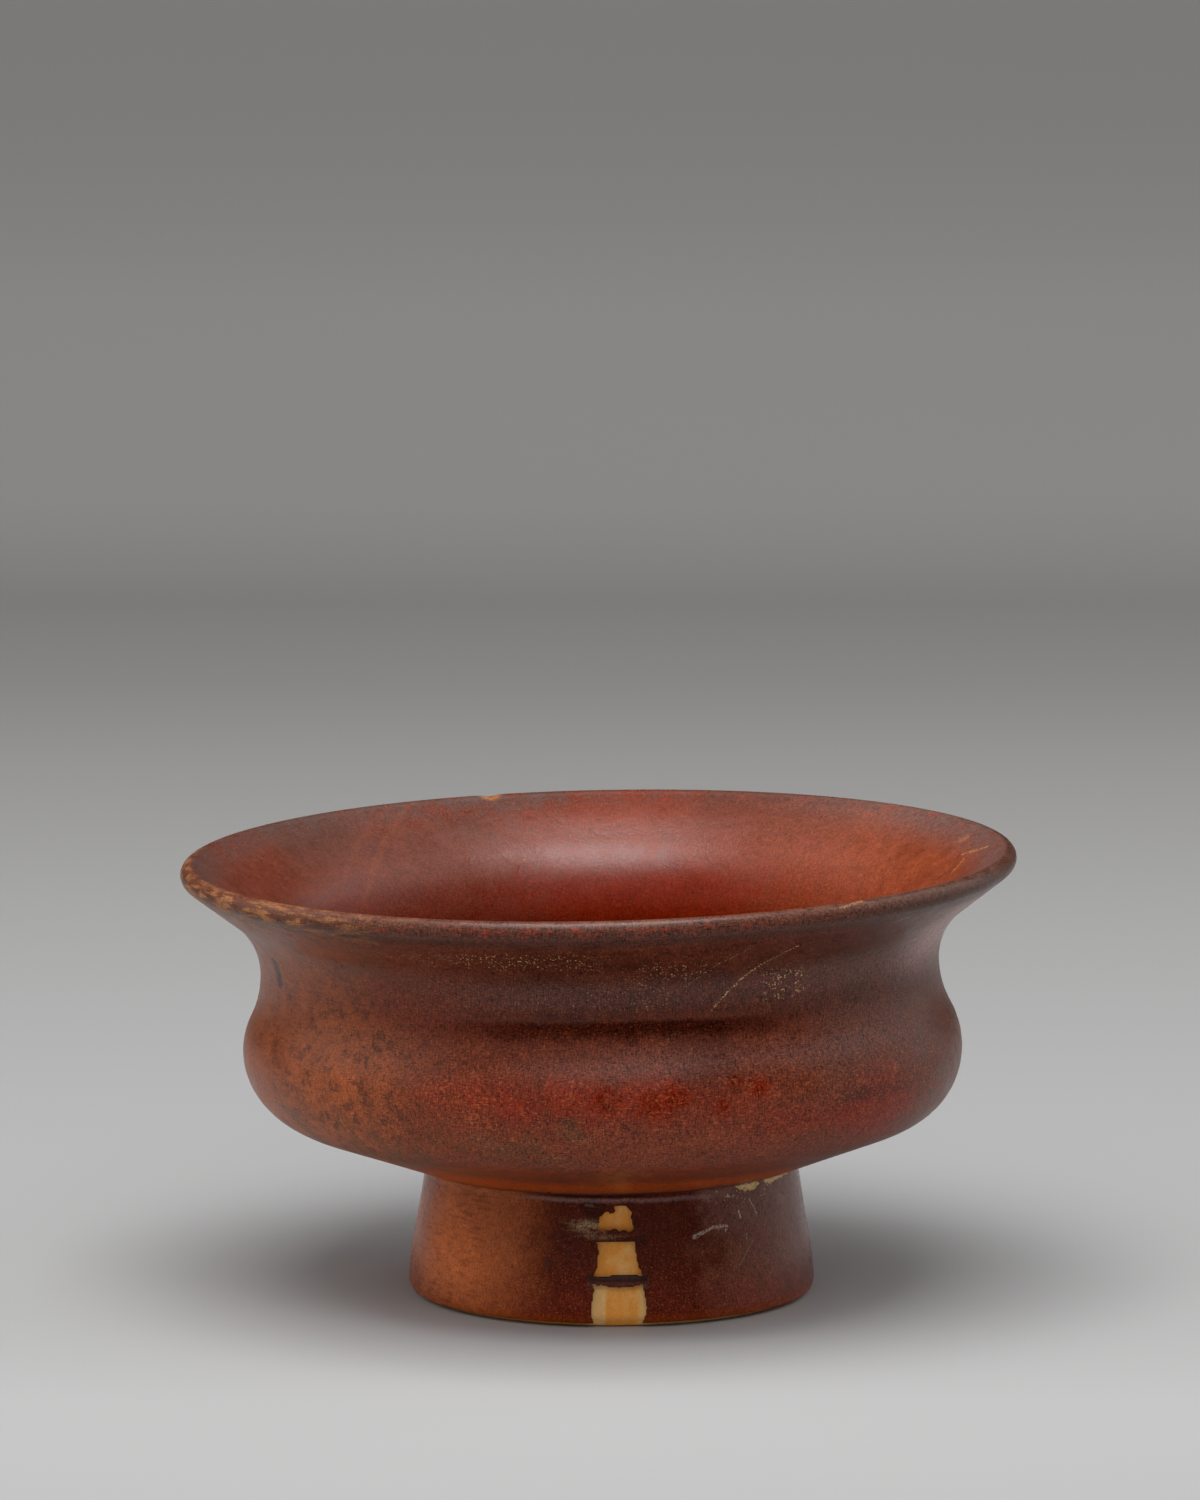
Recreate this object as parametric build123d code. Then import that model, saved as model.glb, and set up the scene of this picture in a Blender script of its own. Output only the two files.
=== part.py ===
from build123d import *
import os
from math import acos, asin, atan, atan2, cos, degrees, hypot, radians, sin, sqrt, tan

# A footed clay bowl under a red gloss coat. Sizes are in millimetres, angles in degrees.
# +Z is up. The origin is the centre of the standing ring, on the surface that the foot rests on.
# Heights on the bowl are counted from its seat on the foot, along the bowl's own leaning axis.

# Mouth of the bowl
rim_diameter = 125.0
lip_round = 1.6
flare_angle = 52.4          # slope of the mouth away from the bowl's axis
lip_rise = 16.7             # from the narrowest level of the neck to the top of the lip

# Neck and belly of the bowl
neck_inset = 11.7           # how far the neck stays behind the lip
neck_wall = 4.5
neck_rise = 12.5            # from the widest level of the belly to the narrowest of the neck
belly_swell = 3.1           # how far the belly stands out beyond the neck
belly_round = 11.4
belly_wall = 4.7
belly_rise = 17.1           # from the seat to the widest level of the belly

# Floor of the bowl
floor_thickness = 7.0
floor_dish = 300.0          # radius of the slightly hollow floor
floor_corner = 7.0          # round from the floor up into the wall
dome_rise = 4.4             # hollow under the floor, inside the foot
dome_margin = 0.5           # seat left between the hollow and the inside of the foot

# Foot
foot_diameter = 60.0
foot_height = 18.9
foot_taper = 2.5            # how much the foot's radius shrinks up to the bowl
foot_wall = 6.0             # wall at the top of the foot
heel_round = 2.0
inner_heel_round = 1.5
standing_width = 4.5        # flat ring that the foot stands on

# Joint between bowl and foot
luting_thickness = 1.0      # on the foot's axis
lean_angle = 1.3            # the bowl leans towards -X
bowl_shift = 1.0            # the bowl sits this far towards -X on its foot
seat_overhang = 1.7         # seat of the bowl beyond the top of the foot

# Gloss coat
coat_thickness = 0.3
coat_hem = 0.9              # bare clay above the standing surface

# Places on the front of the foot where the coat has flaked off, in a column from the top down
flake_side = 1.0            # the column stands this far to the right of the foot's axis
flake_gap = 0.9             # coat left above each flake
flake_heights = (4.2, 5.2, 5.0)
flake_top_widths = (5.0, 5.2, 7.2)
flake_bottom_widths = (5.8, 6.6, 8.2)

# Sizes that follow from those above
rim_radius = rim_diameter / 2
foot_radius = foot_diameter / 2
joint_height = foot_height + luting_thickness
neck_radius = rim_radius - neck_inset
belly_radius = neck_radius + belly_swell
neck_level = belly_rise + neck_rise
top_level = neck_level + lip_rise
floor_level = dome_rise + floor_thickness
seat_radius = foot_radius - foot_taper + seat_overhang
bowl_place = Pos(-bowl_shift, 0, joint_height) * Rot(0, -lean_angle, 0)
blank_top = joint_height + luting_thickness + foot_radius * tan(radians(lean_angle))


def polar(centre, radius, angle):
    """Point at an angle on a circle."""
    return (centre[0] + radius * cos(radians(angle)), centre[1] + radius * sin(radians(angle)))


def arc(centre, radius, start, end):
    """Arc of a circle from one angle to another."""
    return CenterArc(centre, radius, start, end - start)


def turned(edges):
    """Solid of revolution about Z from a closed outline of radius and height."""
    return revolve(Plane.XZ * make_face(edges), axis=Axis.Z)


def neck_to_lip(radius, lip_side):
    """Centre and radius of the arc that leads from the upright neck into the slope of the mouth."""
    touch = polar(lip_centre, lip_round, lip_side)
    corner_level = touch[1] - (touch[0] - radius) / tan(radians(flare_angle))
    bend = (corner_level - neck_level) / tan(radians(flare_angle / 2))
    return (radius + bend, neck_level), bend


def ogee(swell, rise):
    """Turn, and sum of the two radii, of the S-curve from an upright belly to an upright neck."""
    turn = 2 * degrees(atan(swell / rise))
    return turn, rise / sin(radians(turn))


# Circles that shape the outside of the bowl
lip_centre = (rim_radius - lip_round, top_level - lip_round)
outer_lip_side = -flare_angle
inner_lip_side = 180 - flare_angle
flare_centre, flare_bend = neck_to_lip(neck_radius, outer_lip_side)
waist_turn, waist_sum = ogee(belly_swell, neck_rise)
waist_bend = waist_sum - belly_round
waist_centre = (neck_radius + waist_bend, neck_level)
belly_centre = (belly_radius - belly_round, belly_rise)
seat_to_belly = hypot(belly_centre[0] - seat_radius, belly_rise)
under_slope = degrees(atan2(belly_rise, belly_centre[0] - seat_radius) - asin(belly_round / seat_to_belly))

# Circles that shape the inside of the bowl
throat_radius = neck_radius - neck_wall
chamber_radius = belly_radius - belly_wall
throat_centre, throat_bend = neck_to_lip(throat_radius, inner_lip_side)
dish_centre = (0, floor_level + floor_dish)
corner_reach = chamber_radius - floor_corner
chamber_level = dish_centre[1] - sqrt((floor_dish - floor_corner) ** 2 - corner_reach ** 2)
corner_centre = (corner_reach, chamber_level)
corner_end = degrees(atan2(chamber_level - dish_centre[1], corner_reach))
chamber_turn, chamber_sum = ogee(chamber_radius - throat_radius, neck_level - chamber_level)
chamber_bend = chamber_sum / 2
chamber_centre = (chamber_radius - chamber_bend, chamber_level)
lower_throat_centre = (throat_radius + chamber_bend, neck_level)


def bowl_seat_edge(depth):
    """Outer edge of the seat, at a depth under the finished face."""
    return (seat_radius - depth / sin(radians(under_slope)), 0)


def bowl_outline(depth):
    """Outline from the seat over the lip to the middle of the floor, at a depth under the finished face."""
    under_end = polar(belly_centre, belly_round - depth, under_slope - 90)
    flare_start = polar(flare_centre, flare_bend + depth, 180 - flare_angle)
    throat_start = polar(throat_centre, throat_bend - depth, 180 - flare_angle)
    return [
        Line(bowl_seat_edge(depth), under_end),
        arc(belly_centre, belly_round - depth, under_slope - 90, waist_turn),
        arc(waist_centre, waist_bend + depth, 180 + waist_turn, 180),
        arc(flare_centre, flare_bend + depth, 180, 180 - flare_angle),
        Line(flare_start, polar(lip_centre, lip_round - depth, outer_lip_side)),
        arc(lip_centre, lip_round - depth, outer_lip_side, inner_lip_side),
        Line(polar(lip_centre, lip_round - depth, inner_lip_side), throat_start),
        arc(throat_centre, throat_bend - depth, 180 - flare_angle, 180),
        arc(lower_throat_centre, chamber_bend - depth, 180, 180 + chamber_turn),
        arc(chamber_centre, chamber_bend + depth, chamber_turn, 0),
        arc(corner_centre, floor_corner + depth, 0, corner_end),
        arc(dish_centre, floor_dish + depth, corner_end, -90),
    ]


# Circles and slopes that shape the foot
heel_centre = (foot_radius - coat_thickness - heel_round, heel_round)
heel_bend = heel_round + coat_thickness
foot_top = (foot_radius - foot_taper, joint_height)
side_run = (foot_top[0] - heel_centre[0], foot_top[1] - heel_centre[1])
side_slope = degrees(atan2(side_run[1], side_run[0]) - acos(heel_bend / hypot(*side_run)))
inner_heel_centre = (heel_centre[0] - standing_width, inner_heel_round)


def foot_side(depth, level):
    """Point on the straight side of the foot, at a depth under the finished face and at a height."""
    start = polar(heel_centre, heel_bend - depth, side_slope)
    return (start[0] - (level - start[1]) * tan(radians(side_slope)), level)


foot_clay_top = foot_side(coat_thickness, foot_height)
foot_bore_top = (foot_clay_top[0] - foot_wall, foot_height)
bore_run = (foot_bore_top[0] - inner_heel_centre[0], foot_height - inner_heel_round)
bore_slope = degrees(atan2(bore_run[1], bore_run[0]) + acos(inner_heel_round / hypot(*bore_run)))
dome_radius = foot_bore_top[0] - bowl_shift - dome_margin
dome_bend = (dome_radius ** 2 + dome_rise ** 2) / (2 * dome_rise)
dome_centre = (0, dome_rise - dome_bend)
dome_end = degrees(atan2(-dome_centre[1], dome_radius))


def above_seat():
    """Block that fills everything above the leaning seat of the bowl."""
    side = 4 * rim_radius
    return bowl_place * Box(side, side, side, align=(Align.CENTER, Align.CENTER, Align.MIN))


def make_bowl_body():
    """Thrown clay bowl, with a flat seat and a hollow under its floor."""
    clay_floor = (0, floor_level - coat_thickness)
    outline = bowl_outline(coat_thickness)
    outline.append(Line(clay_floor, (0, dome_rise)))
    outline.append(arc(dome_centre, dome_bend, 90, dome_end))
    outline.append(Line((dome_radius, 0), bowl_seat_edge(coat_thickness)))
    return bowl_place * turned(outline)


def make_bowl_slip_coat():
    """Gloss coat over the outside, the lip and the inside of the bowl."""
    seat_ring = Line(bowl_seat_edge(0), bowl_seat_edge(coat_thickness))
    floor_middle = Line((0, floor_level), (0, floor_level - coat_thickness))
    outline = bowl_outline(0) + bowl_outline(coat_thickness) + [seat_ring, floor_middle]
    return bowl_place * turned(outline)


def make_foot_body():
    """Hollow clay foot, open below, standing on a flat ring."""
    ring_outside = (heel_centre[0], 0)
    ring_inside = (inner_heel_centre[0], 0)
    return turned([
        Line(ring_inside, ring_outside),
        arc(heel_centre, heel_round, -90, side_slope),
        Line(polar(heel_centre, heel_round, side_slope), foot_clay_top),
        Line(foot_clay_top, foot_bore_top),
        Line(foot_bore_top, polar(inner_heel_centre, inner_heel_round, bore_slope)),
        arc(inner_heel_centre, inner_heel_round, bore_slope, 270),
    ])


def make_luting_slip():
    """Wedge of clay slip that bonds the leaning bowl to the level foot."""
    blank_outside = foot_side(coat_thickness, blank_top)
    blank_inside = (foot_bore_top[0], blank_top)
    blank = turned(Polyline(foot_bore_top, foot_clay_top, blank_outside, blank_inside, close=True))
    return blank - above_seat()


def flake(top, height, top_width, bottom_width):
    """Block as wide as one flaked place, through the coat on the front of the foot."""
    corners = Polyline(
        (flake_side - top_width / 2, top),
        (flake_side + top_width / 2, top),
        (flake_side + bottom_width / 2, top - height),
        (flake_side - bottom_width / 2, top - height),
        close=True,
    )
    return extrude(Plane.XZ * make_face(corners), amount=foot_diameter)


def make_foot_slip_coat():
    """Gloss coat over the outside of the foot, with the flaked places left open."""
    hem_side = degrees(asin((coat_hem - heel_round) / heel_bend))
    clay_hem_side = degrees(asin((coat_hem - heel_round) / heel_round))
    coat = turned([
        arc(heel_centre, heel_bend, hem_side, side_slope),
        Line(polar(heel_centre, heel_bend, side_slope), foot_side(0, blank_top)),
        Line(foot_side(0, blank_top), foot_side(coat_thickness, blank_top)),
        Line(foot_side(coat_thickness, blank_top), polar(heel_centre, heel_round, side_slope)),
        arc(heel_centre, heel_round, side_slope, clay_hem_side),
        Line(polar(heel_centre, heel_round, clay_hem_side), polar(heel_centre, heel_bend, hem_side)),
    ])
    coat -= above_seat()
    top = foot_height
    for height, top_width, bottom_width in zip(flake_heights, flake_top_widths, flake_bottom_widths):
        top -= flake_gap
        coat -= flake(top, height, top_width, bottom_width)
        top -= height
    return coat


pieces = {
    "bowl_body": make_bowl_body(),
    "foot_body": make_foot_body(),
    "luting_slip": make_luting_slip(),
    "bowl_slip_coat": make_bowl_slip_coat(),
    "foot_slip_coat": make_foot_slip_coat(),
}

os.makedirs("parts", exist_ok=True)
for name, piece in pieces.items():
    export_step(piece, f"parts/{name}.step")
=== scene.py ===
"""Footed red-gloss bowl: a worn clay bowl luted onto a hollow foot, in a plain studio."""

from math import acos, asin, atan, atan2, cos, degrees, exp, hypot, pi, radians, sin, sqrt, tan

import bmesh
import bpy
from bpy.props import FloatProperty, FloatVectorProperty, PointerProperty
from mathutils import Matrix, Vector, noise


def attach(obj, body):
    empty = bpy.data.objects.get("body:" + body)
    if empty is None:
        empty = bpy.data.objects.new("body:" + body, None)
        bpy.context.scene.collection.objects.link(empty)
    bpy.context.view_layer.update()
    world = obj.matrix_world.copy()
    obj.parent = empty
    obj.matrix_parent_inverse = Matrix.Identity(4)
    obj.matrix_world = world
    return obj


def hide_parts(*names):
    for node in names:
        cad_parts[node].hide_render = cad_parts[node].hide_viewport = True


bl_info = {
    "name": "Footed red-gloss bowl",
    "version": (1, 0, 0),
    "blender": (4, 5, 0),
    "location": "3D View > Sidebar > Bowl",
    "description": "Models a worn clay bowl with red gloss on a hollow foot, and a plain studio for it",
    "category": "Add Mesh",
}

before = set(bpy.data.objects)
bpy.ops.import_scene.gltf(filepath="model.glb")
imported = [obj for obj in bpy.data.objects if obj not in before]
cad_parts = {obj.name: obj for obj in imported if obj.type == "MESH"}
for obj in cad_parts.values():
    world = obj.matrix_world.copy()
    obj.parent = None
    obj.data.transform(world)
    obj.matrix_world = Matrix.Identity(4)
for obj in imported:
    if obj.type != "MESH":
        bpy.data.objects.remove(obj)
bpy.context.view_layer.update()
MM = 0.001


# Properties that a user would change

def length(name, description, millimetres):
    """Length property, given in millimetres and kept in metres."""
    return FloatProperty(
        name=name, description=description, default=millimetres * MM, unit="LENGTH", precision=5
    )


def turn(name, description, in_degrees):
    """Angle property, given in degrees and kept in radians."""
    return FloatProperty(name=name, description=description, default=radians(in_degrees), subtype="ANGLE")


def colour(name, description, red, green, blue):
    """Colour property, in linear light."""
    return FloatVectorProperty(
        name=name, description=description, default=(red, green, blue), subtype="COLOR", min=0, max=1
    )


def level(name, description, default):
    """Plain number without a unit."""
    return FloatProperty(name=name, description=description, default=default, min=0)


class BowlSizes(bpy.types.PropertyGroup):
    """Sizes of the bowl's wall, measured upright above its seat on the foot."""

    rim_diameter: length("Rim diameter", "Across the outside of the lip", 125)
    lip_round: length("Lip round", "Radius of the rounded lip", 1.6)
    flare_angle: turn("Flare angle", "Turn of the flared lip out of the upright", 52.4)
    lip_rise: length("Lip rise", "Height from the neck to the top of the lip", 16.7)
    neck_inset: length("Neck inset", "How far the neck stands inside the lip", 11.7)
    neck_wall: length("Neck wall", "Thickness of the wall at the neck", 4.5)
    neck_rise: length("Neck rise", "Height from the belly to the neck", 12.5)
    belly_swell: length("Belly swell", "How far the belly stands outside the neck", 3.1)
    belly_round: length("Belly round", "Radius of the belly's turn", 11.4)
    belly_wall: length("Belly wall", "Thickness of the wall at the belly", 4.7)
    belly_rise: length("Belly rise", "Height from the seat to the widest part of the belly", 17.1)
    floor_rise: length("Floor rise", "Height of the floor's middle above the seat", 11.4)
    floor_dish: length("Floor dish", "Radius of the hollow floor", 300)
    floor_corner: length("Floor corner", "Radius between floor and wall", 7)
    seat_radius: length("Seat radius", "Radius of the bowl where it sits on the foot", 29.2)
    dome_radius: length("Dome radius", "Radius of the hollow under the floor", 19.84)
    dome_rise: length("Dome rise", "Rise of the hollow under the floor", 4.4)
    coat_thickness: length("Coat thickness", "Thickness of the gloss coat", 0.3)


class HandWork(bpy.types.PropertyGroup):
    """How far the hand-worked bowl departs from a true turned one."""

    seat_tilt: turn("Seat tilt", "Lean of the lowest part of the bowl", 0.52)
    rim_tilt: turn("Rim tilt", "Lean of the rim", 1.24)
    tilt_rise: length("Tilt rise", "Height over which the lean grows to its full turn", 30)
    seat_shift: length("Seat shift", "Sideways place of the seat on the foot", -0.27)
    drift: length("Drift", "Sideways drift of the wall on its way up", -3.516)
    drift_return: length("Drift return", "How far the drift is taken back at the rim", 1.817)
    unevenness: length("Unevenness", "Depth of the slow waves left by the hand", 0.14)
    ring_depth: length("Ring depth", "Depth of the fine turning rings", 0.022)
    ring_pitch: length("Ring pitch", "Distance between turning rings", 2.7)
    flare_roll: length("Flare roll", "Fullness of the inside of the flare", 0.45)
    chip_width: length("Chip width", "Width of the chip in the back of the lip", 2.4)
    chip_depth: length("Chip depth", "Depth of the chip in the back of the lip", 0.25)
    flake_sink: length("Flake sink", "Depth of the hollows in the clay where the coat flaked off", 0.25)
    chip_sink: length("Chip sink", "Depth of the chips in the coat under the bowl", 0.15)
    flake_lip: length("Flake lip", "Rise of the coat's strips between flaked places", 0.3)


class FootSizes(bpy.types.PropertyGroup):
    """Sizes of the hollow foot."""

    joint_height: length("Joint height", "Height of the seat above the table", 19.9)
    clay_height: length("Clay height", "Height of the foot's clay, under the luting slip", 18.9)
    foot_radius: length("Foot radius", "Radius of the foot at the heel", 30)
    foot_taper: length("Foot taper", "How far the foot draws in on its way up", 2.5)
    foot_wall: length("Foot wall", "Thickness of the foot's wall at the top", 6)
    heel_round: length("Heel round", "Radius of the outer heel", 2)
    inner_heel_round: length("Inner heel round", "Radius of the inner heel", 1.5)
    standing_width: length("Standing width", "Width of the ring that the foot stands on", 4.5)
    swell: length("Swell", "Slight fullness of the foot's side", 0.28)
    swell_height: length("Swell height", "Height of the fullest place of the side", 7)
    coat_hem: length("Coat hem", "Height of the coat's lower edge", 0.9)
    fillet: length("Fillet", "Radius of the smoothed slip under the bowl", 1.3)


class CoatColours(bpy.types.PropertyGroup):
    """Colours of the gloss coat, in linear light."""

    red_brown: colour("Red-brown", "Main colour of the outside", 0.175, 0.034, 0.014)
    dark_brown: colour("Dark brown", "Thick coat in the neck", 0.084, 0.016, 0.006)
    # Painted shade and sheen on the right side of the bowl, darker and greyer than the main colour
    sheen_shade_brown: colour("Dull brown", "Coat that lost its colour in the fire", 0.102, 0.033, 0.019)
    orange_brown: colour("Orange-brown", "Thin, worn coat", 0.320, 0.085, 0.030)
    belly_red: colour("Belly red", "Clear red round the belly", 0.205, 0.018, 0.006)
    deep_red: colour("Deep red", "Glassy clear patches", 0.175, 0.015, 0.005)
    # Painted shade: darkens the crease over the belly, the joint under the bowl and one edge of each strip
    # between the flaked windows; it also colours a dark blotch on the foot
    crease: colour("Crease", "Pooled coat in the crease over the belly", 0.030, 0.005, 0.002)
    foot_dark: colour("Foot dark", "Thick coat on the front of the foot", 0.084, 0.009, 0.001)
    curl: colour("Curl", "Strips that curl up between the flaked places", 0.110, 0.032, 0.022)
    foot_orange: colour("Foot orange", "Thin coat on the left of the foot", 0.620, 0.160, 0.042)
    # Painted sheen on the right of the foot, lighter and greyer than its front
    foot_sheen_brown: colour("Foot dull brown", "Dull coat on the right of the foot", 0.150, 0.052, 0.032)
    amber: colour("Amber", "Coat on the underside and the heel", 0.420, 0.064, 0.003)
    burnt: colour("Burnt orange", "Hot patch on the left of the belly", 0.360, 0.085, 0.024)
    umber: colour("Umber", "Smoky coat under the lip on the left", 0.130, 0.050, 0.024)
    # Painted sheen and highlight: pale veil on the shoulder, the neck, the inside of the rim and the sides
    # of the foot, and a highlight line under the bowl
    painted_sheen: colour("Haze", "Pale bloom on the shoulder", 0.300, 0.170, 0.155)
    olive: colour("Olive", "Greenish-brown fire marks", 0.100, 0.050, 0.021)
    bruise: colour("Bruise", "Dark fire marks", 0.052, 0.016, 0.011)
    soot: colour("Soot", "Small dark spots", 0.016, 0.008, 0.008)
    fleck: colour("Fleck", "Fine flecks in the coat", 0.370, 0.095, 0.030)
    lip_shade: colour("Lip shade", "Darker band under the lip", 0.056, 0.029, 0.021)
    lip_red: colour("Lip red", "Bright spots under the lip", 0.320, 0.030, 0.012)
    tan: colour("Tan", "Wear along the lip", 0.440, 0.180, 0.060)
    cream: colour("Cream", "Specks and scratches down to the body", 0.700, 0.480, 0.230)
    scuff: colour("Scuff", "Pale scuffs on the foot", 0.520, 0.420, 0.330)
    dust: colour("Dust", "Dusty smear on the foot", 0.480, 0.350, 0.190)
    inner_red: colour("Inner red", "Main colour of the inside", 0.195, 0.031, 0.011)
    inner_deep: colour("Inner deep red", "Inside, low down", 0.180, 0.013, 0.001)
    inner_dull: colour("Inner dull red", "Inside of the flare", 0.092, 0.027, 0.015)
    inner_orange: colour("Inner orange", "Lighter side of the inside", 0.265, 0.053, 0.017)


class ClayColours(bpy.types.PropertyGroup):
    """Colours of the bare clay and of the luting slip, in linear light."""

    ochre: colour("Ochre", "Main colour of the clay", 0.930, 0.370, 0.060)
    pale: colour("Pale", "Lighter streaks of the clay", 0.950, 0.570, 0.210)
    pore: colour("Pore", "Small dark pores", 0.160, 0.070, 0.022)
    luting: colour("Luting", "Slip between bowl and foot", 0.400, 0.230, 0.090)


class StudioSettings(bpy.types.PropertyGroup):
    """Camera and room."""

    camera_side: length("Camera side", "Sideways place of the camera", -1.73)
    camera_distance: length("Camera distance", "Distance of the camera in front", 1635.0)
    camera_height: length("Camera height", "Height of the camera", 331.8)
    camera_pitch: turn("Camera pitch", "Downward turn of the camera", 8.694)
    lens: level("Lens", "Focal length of the camera, in millimetres", 266.2)
    horizon: colour("Horizon", "Light of the room at eye level", 0.02, 0.02, 0.02)
    zenith: colour("Zenith", "Light of the room from straight above", 0.36, 0.36, 0.36)


class BowlSettings(bpy.types.PropertyGroup):
    """All that the operators below read."""

    bowl: PointerProperty(type=BowlSizes)
    hand: PointerProperty(type=HandWork)
    foot: PointerProperty(type=FootSizes)
    coat: PointerProperty(type=CoatColours)
    clay: PointerProperty(type=ClayColours)
    studio: PointerProperty(type=StudioSettings)


# Shader sums

class Shade:
    """Socket of a finish that takes part in Python sums."""

    def __init__(self, finish, socket):
        self.finish = finish
        self.socket = socket

    def maths(self, operation, *others):
        return self.finish.maths(operation, self, *others)

    def __add__(self, other):
        return self.maths("ADD", other)

    __radd__ = __add__

    def __mul__(self, other):
        return self.maths("MULTIPLY", other)

    __rmul__ = __mul__

    def __sub__(self, other):
        return self.maths("SUBTRACT", other)

    def __rsub__(self, other):
        return self.finish.maths("SUBTRACT", other, self)

    def __truediv__(self, other):
        return self.maths("DIVIDE", other)

    def __abs__(self):
        return self.maths("ABSOLUTE")

    def rise(self, low, high):
        """0 below low, 1 above high, smooth between; falls instead where low is above high."""
        sockets = {"Value": self, "From Min": min(low, high), "From Max": max(low, high)}
        if low > high:
            sockets.update({"To Min": 1.0, "To Max": 0.0})
        return self.finish.node("ShaderNodeMapRange", {"interpolation_type": "SMOOTHSTEP"}, sockets)

    def band(self, low, high, soft):
        """1 between low and high, fading over a width of soft on each side."""
        return self.rise(low - soft, low + soft) * self.rise(high + soft, high - soft)

    def limit(self):
        """Kept between 0 and 1."""
        return self.finish.node("ShaderNodeClamp", {}, {"Value": self})


class Nodes:
    """Node tree that is filled by Python expressions."""

    def __init__(self, tree):
        self.tree = tree
        tree.nodes.clear()

    def node(self, kind, settings, sockets, output=0):
        """New node with its settings made first; gives the wanted output, or several."""
        made = self.tree.nodes.new(kind)
        for key, value in settings.items():
            if key == "stops":
                self.set_stops(made.color_ramp, value)
            else:
                setattr(made, key, value)
        for key, value in sockets.items():
            if isinstance(value, Shade):
                self.tree.links.new(value.socket, made.inputs[key])
            else:
                made.inputs[key].default_value = value
        if isinstance(output, tuple):
            return [Shade(self, made.outputs[key]) for key in output]
        return Shade(self, made.outputs[output]) if made.outputs else None

    def set_stops(self, ramp, stops):
        """Gives a ramp its grey stops, as places with brightnesses."""
        while len(ramp.elements) < len(stops):
            ramp.elements.new(1.0)
        for element, (place, brightness) in zip(ramp.elements, stops):
            element.position = place
            element.color = (brightness, brightness, brightness, 1.0)

    def maths(self, operation, *values):
        return self.node("ShaderNodeMath", {"operation": operation}, dict(enumerate(values)))

    def vectors(self, operation, *values, output="Vector"):
        return self.node("ShaderNodeVectorMath", {"operation": operation}, dict(enumerate(values)), output)

    def scaled(self, vector, factor):
        settings = {"operation": "SCALE"}
        return self.node("ShaderNodeVectorMath", settings, {"Vector": vector, "Scale": factor})

    def vector(self, x, y, z):
        return self.node("ShaderNodeCombineXYZ", {}, {"X": x, "Y": y, "Z": z})

    def parts(self, vector):
        return self.node("ShaderNodeSeparateXYZ", {}, {"Vector": vector}, ("X", "Y", "Z"))

    def mix(self, factor, first, second):
        """Colour that goes from first to second as factor goes from 0 to 1."""
        sockets = {0: factor}
        for key, value in ((6, first), (7, second)):
            sockets[key] = value if isinstance(value, Shade) else (*value, 1.0)
        return self.node("ShaderNodeMix", {"data_type": "RGBA", "clamp_factor": True}, sockets, 2)

    def most(self, values):
        """Largest of several values."""
        largest, *others = values
        for value in others:
            largest = largest.maths("MAXIMUM", value)
        return largest


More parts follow.
